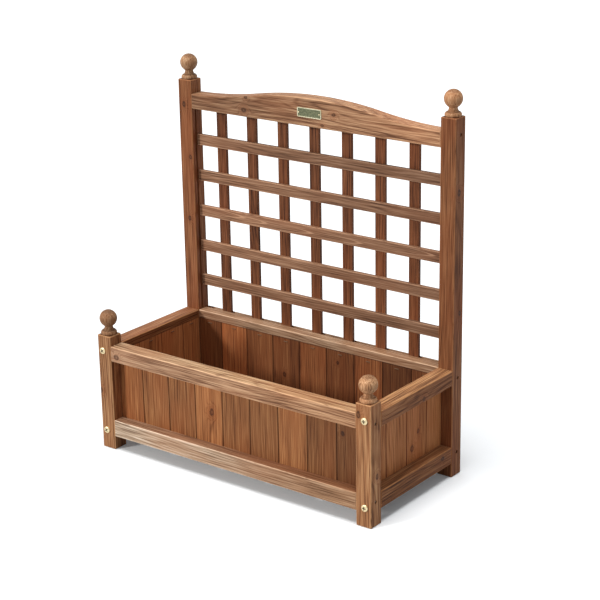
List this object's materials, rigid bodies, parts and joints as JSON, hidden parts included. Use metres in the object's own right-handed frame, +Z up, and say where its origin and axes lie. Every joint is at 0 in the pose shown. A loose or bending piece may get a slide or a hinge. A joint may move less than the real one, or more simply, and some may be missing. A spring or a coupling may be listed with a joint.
{
  "type": "trellis planter box",
  "caption": "Rectangular wooden planter box on square posts, with an open lattice under an arched rail between the tall rear posts and ball caps on all the posts.",
  "frame": {"origin": "on the ground, below the middle of the box's footprint", "axes": "+X to the right seen from the front, +Y to the rear where the lattice stands, +Z up"},
  "size_m": [0.637, 0.3004, 0.7295],
  "materials": {
    "post_wood": "stained, satin",
    "rail_wood": "stained, satin",
    "board_wood": "stained, matt",
    "lath_wood": "stained, matt",
    "cap_wood": "stained, satin",
    "floor_wood": "sawn",
    "screw_brass": "satin",
    "plate_brass": "aged",
    "wire_steel": "bright"
  },
  "bodies": {
    "root": {"front_left_post": "post_wood", "front_left_cap": "cap_wood", "front_right_post": "post_wood", "front_right_cap": "cap_wood", "rear_left_post": "post_wood", "rear_left_cap": "cap_wood", "rear_right_post": "post_wood", "rear_right_cap": "cap_wood", "front_top_rail": "rail_wood", "front_low_rail": "rail_wood", "rear_top_rail": "rail_wood", "rear_low_rail": "rail_wood", "left_top_rail": "rail_wood", "left_low_rail": "rail_wood", "right_top_rail": "rail_wood", "right_low_rail": "rail_wood", "arched_rail": "rail_wood", "name_plate": "plate_brass", "plate_pins": "plate_brass", "front_board_1": "board_wood", "front_board_2": "board_wood", "front_board_3": "board_wood", "front_board_4": "board_wood", "front_board_5": "board_wood", "front_board_6": "board_wood", "front_board_7": "board_wood", "front_board_8": "board_wood", "front_board_9": "board_wood", "rear_board_1": "board_wood", "rear_board_2": "board_wood", "rear_board_3": "board_wood", "rear_board_4": "board_wood", "rear_board_5": "board_wood", "rear_board_6": "board_wood", "rear_board_7": "board_wood", "rear_board_8": "board_wood", "rear_board_9": "board_wood", "left_boards": "board_wood", "right_boards": "board_wood", "board_staples": "wire_steel", "cross_lath_1": "lath_wood", "cross_lath_2": "lath_wood", "cross_lath_3": "lath_wood", "cross_lath_4": "lath_wood", "cross_lath_5": "lath_wood", "upright_lath_1": "lath_wood", "upright_lath_2": "lath_wood", "upright_lath_3": "lath_wood", "upright_lath_4": "lath_wood", "upright_lath_5": "lath_wood", "upright_lath_6": "lath_wood", "upright_lath_7": "lath_wood", "lath_brads": "wire_steel", "front_floor_cleat": "floor_wood", "rear_floor_cleat": "floor_wood", "floor_slats": "floor_wood", "floor_brads": "wire_steel", "pan_head_screws": "screw_brass", "sunk_screws": "wire_steel"}
  },
  "joints": []
}
